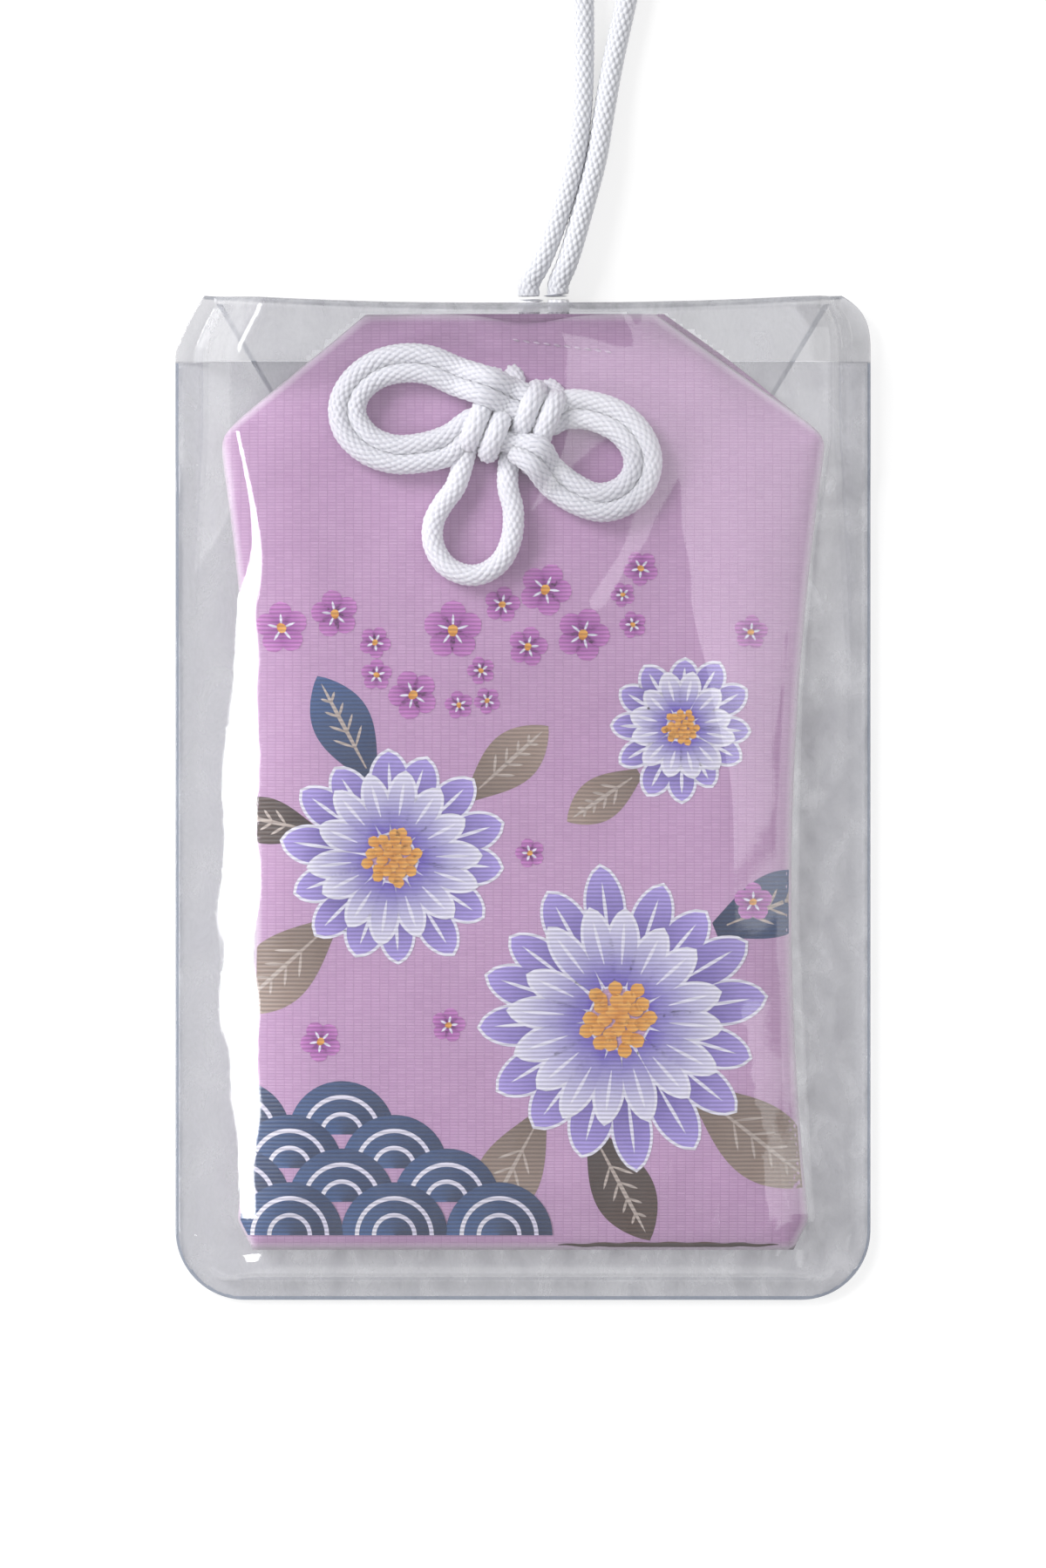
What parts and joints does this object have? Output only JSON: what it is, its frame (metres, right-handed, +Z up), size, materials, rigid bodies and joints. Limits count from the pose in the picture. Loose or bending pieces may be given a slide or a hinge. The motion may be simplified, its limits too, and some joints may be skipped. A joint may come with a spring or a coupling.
{
  "type": "charm pouch in a clear sleeve",
  "caption": "Flat brocade charm pouch with sloped shoulders, tied with a braided cord bow and hanging loop, kept in a clear soft plastic sleeve with a fold-over flap.",
  "frame": {"origin": "centre of the sleeve's outline, on the surface that it lies on", "axes": "+X across the sleeve, +Y towards the cord's end, +Z up out of the face"},
  "size_m": [0.06, 0.1423, 0.009],
  "materials": {
    "clear_sheet": "clear soft vinyl, glossy, faintly hazy",
    "brocade": "woven lilac brocade with a satin sheen",
    "cord": "white braided cord",
    "card": "plain grey card",
    "paper": "white folded paper",
    "cedar": "planed pale softwood"
  },
  "bodies": {
    "sleeve": {"sleeve_front_sheet": "clear_sheet", "sleeve_back_sheet": "clear_sheet"},
    "flap": {"sleeve_flap": "clear_sheet"},
    "pouch": {"pouch_front_panel": "brocade", "pouch_back_panel": "brocade", "stiffener_card": "card", "charm_wrapper": "paper", "charm_slip": "cedar", "bow_ears": "cord", "bow_wrap": "cord", "hanging_loop": "cord"}
  },
  "joints": [
    {"name": "flap_hinge", "type": "hinge", "parent": "sleeve", "child": "flap", "pos_m": [0, 0.04285, 0.00015], "axis": [1, 0, 0], "range_deg": [0, 180]},
    {"name": "pouch_slide", "type": "slide", "parent": "sleeve", "child": "pouch", "axis": [0, 1, 0], "range_m": [-0.0015, 0.0004]}
  ]
}
